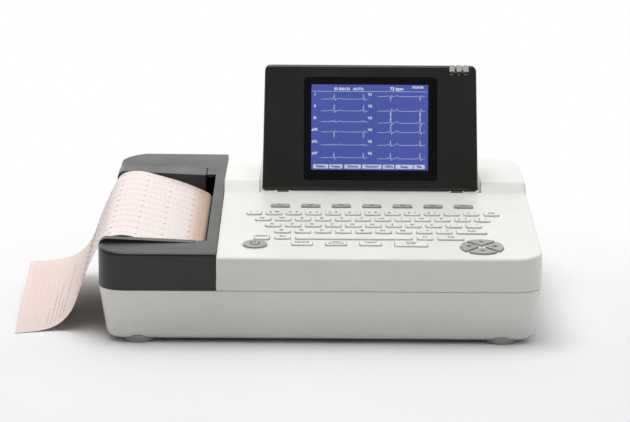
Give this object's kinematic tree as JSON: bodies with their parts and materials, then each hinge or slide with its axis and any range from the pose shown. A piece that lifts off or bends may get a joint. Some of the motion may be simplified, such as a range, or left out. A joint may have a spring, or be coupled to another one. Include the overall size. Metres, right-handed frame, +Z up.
{
  "type": "ecg machine",
  "caption": "Low desktop electrocardiograph with a sloping typing keyboard, a fold-down display and a sliding recorder on the left that feeds out a wide printed paper strip.",
  "frame": {"origin": "on the table under the middle of the whole object, paper strip included", "axes": "+X to the user's right, along the long front; +Y to the rear; +Z up"},
  "size_m": [0.512, 0.33, 0.2293],
  "materials": {
    "white_casing": "fine matte",
    "silver_casing": "satin silver-grey",
    "dark_casing": "satin dark grey",
    "white_key": "matte",
    "grey_key": "matte",
    "black_plastic": "satin",
    "foot_rubber": "matte",
    "roller_rubber": "matte",
    "steel": "brushed",
    "brass": "turned",
    "circuit_board": "satin",
    "paper": "matte, printed pink grid",
    "window": "gloss",
    "lcd": "lit",
    "lamp": "frosted"
  },
  "bodies": {
    "casing": {"lower_casing": "silver_casing", "upper_casing": "white_casing", "recorder_frame": "dark_casing", "foot_front_left": "foot_rubber", "foot_front_right": "foot_rubber", "foot_rear_left": "foot_rubber", "foot_rear_right": "foot_rubber", "battery_door": "silver_casing", "battery_pack": "black_plastic", "main_board": "circuit_board", "keypad_board": "circuit_board", "power_supply": "steel", "print_head": "black_plastic", "stepper_motor": "steel", "mains_inlet": "black_plastic", "earth_terminal": "brass", "patient_socket": "steel", "data_port_panel": "black_plastic", "hinge_bracket_left": "steel", "hinge_bracket_right": "steel", "paper_tray": "black_plastic"},
    "display": {"display_bezel": "dark_casing", "display_back": "dark_casing", "lcd_panel": "lcd", "display_window": "window", "status_light_bar": "lamp", "hinge_pin_left": "steel", "hinge_pin_right": "steel"},
    "recorder_cover": {"recorder_cover": "dark_casing", "paper_sheet": "paper"},
    "platen": {"platen_roller": "roller_rubber", "platen_shaft": "steel", "platen_gear": "white_key"},
    "motor_pinion": {"motor_pinion": "brass"},
    "paper_roll": {"paper_roll": "paper", "paper_spindle": "white_key"},
    "front_latch": {"front_latch": "grey_key"},
    "rear_latch": {"rear_latch": "grey_key"},
    "mains_switch": {"mains_switch": "black_plastic"},
    "function_key_1": {"function_key_1": "grey_key"},
    "function_key_2": {"function_key_2": "grey_key"},
    "function_key_3": {"function_key_3": "grey_key"},
    "function_key_4": {"function_key_4": "grey_key"},
    "function_key_5": {"function_key_5": "grey_key"},
    "function_key_6": {"function_key_6": "grey_key"},
    "function_key_7": {"function_key_7": "grey_key"},
    "power_key": {"power_key": "grey_key"},
    "mode_key": {"mode_key": "white_key"},
    "rhythm_key": {"rhythm_key": "white_key"},
    "copy_key": {"copy_key": "white_key"},
    "start_stop_key": {"start_stop_key": "white_key"},
    "arrow_right_key": {"arrow_right_key": "grey_key"},
    "arrow_up_key": {"arrow_up_key": "grey_key"},
    "arrow_left_key": {"arrow_left_key": "grey_key"},
    "arrow_down_key": {"arrow_down_key": "grey_key"},
    "space_row_keys": {"space_row_keys": "white_key"},
    "lower_letter_keys": {"lower_letter_keys": "white_key"},
    "home_letter_keys": {"home_letter_keys": "white_key"},
    "upper_letter_keys": {"upper_letter_keys": "white_key"},
    "digit_keys": {"digit_keys": "white_key"}
  },
  "joints": [
    {"name": "display_fold", "type": "hinge", "parent": "casing", "child": "display", "pos_m": [0.0968, 0.04305, 0.10795], "axis": [-1, 0, 0], "range_deg": [0, 74.5]},
    {"name": "recorder_cover_slide", "type": "slide", "parent": "casing", "child": "recorder_cover", "axis": [-1, 0, 0], "range_m": [0, 0.071]},
    {"name": "platen_spin", "type": "hinge", "parent": "recorder_cover", "child": "platen", "pos_m": [-0.0735, -0.01279, 0.06754], "axis": [0, 0.9968, 0.0802], "continuous": true},
    {"name": "motor_spin", "type": "hinge", "parent": "casing", "child": "motor_pinion", "pos_m": [-0.0558, 0.09885, 0.07652], "axis": [0, 0.9968, 0.0802], "continuous": true},
    {"name": "paper_roll_spin", "type": "hinge", "parent": "casing", "child": "paper_roll", "pos_m": [-0.118, -0.01067, 0.04122], "axis": [0, 0.9968, 0.0802], "continuous": true},
    {"name": "front_latch_press", "type": "slide", "parent": "recorder_cover", "child": "front_latch", "axis": [1, 0, 0], "range_m": [0, 0.002], "stiffness_N_per_m": 500},
    {"name": "rear_latch_press", "type": "slide", "parent": "recorder_cover", "child": "rear_latch", "axis": [1, 0, 0], "range_m": [0, 0.002], "stiffness_N_per_m": 500},
    {"name": "mains_switch_rock", "type": "hinge", "parent": "casing", "child": "mains_switch", "pos_m": [-0.0687, 0.157, 0.031], "axis": [1, 0, 0], "range_deg": [-16, 0]},
    {"name": "function_key_1_press", "type": "slide", "parent": "casing", "child": "function_key_1", "axis": [0, 0.0875, -0.9962], "range_m": [0, 0.0012], "stiffness_N_per_m": 400},
    {"name": "function_key_2_press", "type": "slide", "parent": "casing", "child": "function_key_2", "axis": [0, 0.0875, -0.9962], "range_m": [0, 0.0012], "stiffness_N_per_m": 400},
    {"name": "function_key_3_press", "type": "slide", "parent": "casing", "child": "function_key_3", "axis": [0, 0.0875, -0.9962], "range_m": [0, 0.0012], "stiffness_N_per_m": 400},
    {"name": "function_key_4_press", "type": "slide", "parent": "casing", "child": "function_key_4", "axis": [0, 0.0875, -0.9962], "range_m": [0, 0.0012], "stiffness_N_per_m": 400},
    {"name": "function_key_5_press", "type": "slide", "parent": "casing", "child": "function_key_5", "axis": [0, 0.0875, -0.9962], "range_m": [0, 0.0012], "stiffness_N_per_m": 400},
    {"name": "function_key_6_press", "type": "slide", "parent": "casing", "child": "function_key_6", "axis": [0, 0.0875, -0.9962], "range_m": [0, 0.0012], "stiffness_N_per_m": 400},
    {"name": "function_key_7_press", "type": "slide", "parent": "casing", "child": "function_key_7", "axis": [0, 0.0875, -0.9962], "range_m": [0, 0.0012], "stiffness_N_per_m": 400},
    {"name": "power_key_press", "type": "slide", "parent": "casing", "child": "power_key", "axis": [0, 0.0875, -0.9962], "range_m": [0, 0.0012], "stiffness_N_per_m": 400},
    {"name": "mode_key_press", "type": "slide", "parent": "casing", "child": "mode_key", "axis": [0, 0.0875, -0.9962], "range_m": [0, 0.0012], "stiffness_N_per_m": 400},
    {"name": "rhythm_key_press", "type": "slide", "parent": "casing", "child": "rhythm_key", "axis": [0, 0.0875, -0.9962], "range_m": [0, 0.0012], "stiffness_N_per_m": 400},
    {"name": "copy_key_press", "type": "slide", "parent": "casing", "child": "copy_key", "axis": [0, 0.0875, -0.9962], "range_m": [0, 0.0012], "stiffness_N_per_m": 400},
    {"name": "start_stop_key_press", "type": "slide", "parent": "casing", "child": "start_stop_key", "axis": [0, 0.0875, -0.9962], "range_m": [0, 0.0012], "stiffness_N_per_m": 400},
    {"name": "arrow_right_key_press", "type": "slide", "parent": "casing", "child": "arrow_right_key", "axis": [0, 0.0875, -0.9962], "range_m": [0, 0.0012], "stiffness_N_per_m": 400},
    {"name": "arrow_up_key_press", "type": "slide", "parent": "casing", "child": "arrow_up_key", "axis": [0, 0.0875, -0.9962], "range_m": [0, 0.0012], "stiffness_N_per_m": 400},
    {"name": "arrow_left_key_press", "type": "slide", "parent": "casing", "child": "arrow_left_key", "axis": [0, 0.0875, -0.9962], "range_m": [0, 0.0012], "stiffness_N_per_m": 400},
    {"name": "arrow_down_key_press", "type": "slide", "parent": "casing", "child": "arrow_down_key", "axis": [0, 0.0875, -0.9962], "range_m": [0, 0.0012], "stiffness_N_per_m": 400},
    {"name": "space_row_keys_press", "type": "slide", "parent": "casing", "child": "space_row_keys", "axis": [0, 0.0875, -0.9962], "range_m": [0, 0.0012], "stiffness_N_per_m": 900},
    {"name": "lower_letter_keys_press", "type": "slide", "parent": "casing", "child": "lower_letter_keys", "axis": [0, 0.0875, -0.9962], "range_m": [0, 0.0012], "stiffness_N_per_m": 900},
    {"name": "home_letter_keys_press", "type": "slide", "parent": "casing", "child": "home_letter_keys", "axis": [0, 0.0875, -0.9962], "range_m": [0, 0.0012], "stiffness_N_per_m": 900},
    {"name": "upper_letter_keys_press", "type": "slide", "parent": "casing", "child": "upper_letter_keys", "axis": [0, 0.0875, -0.9962], "range_m": [0, 0.0012], "stiffness_N_per_m": 900},
    {"name": "digit_keys_press", "type": "slide", "parent": "casing", "child": "digit_keys", "axis": [0, 0.0875, -0.9962], "range_m": [0, 0.0012], "stiffness_N_per_m": 900}
  ],
  "couplings": [
    {"joint": "motor_spin", "follows": "platen_spin", "ratio": -1.3333}
  ]
}
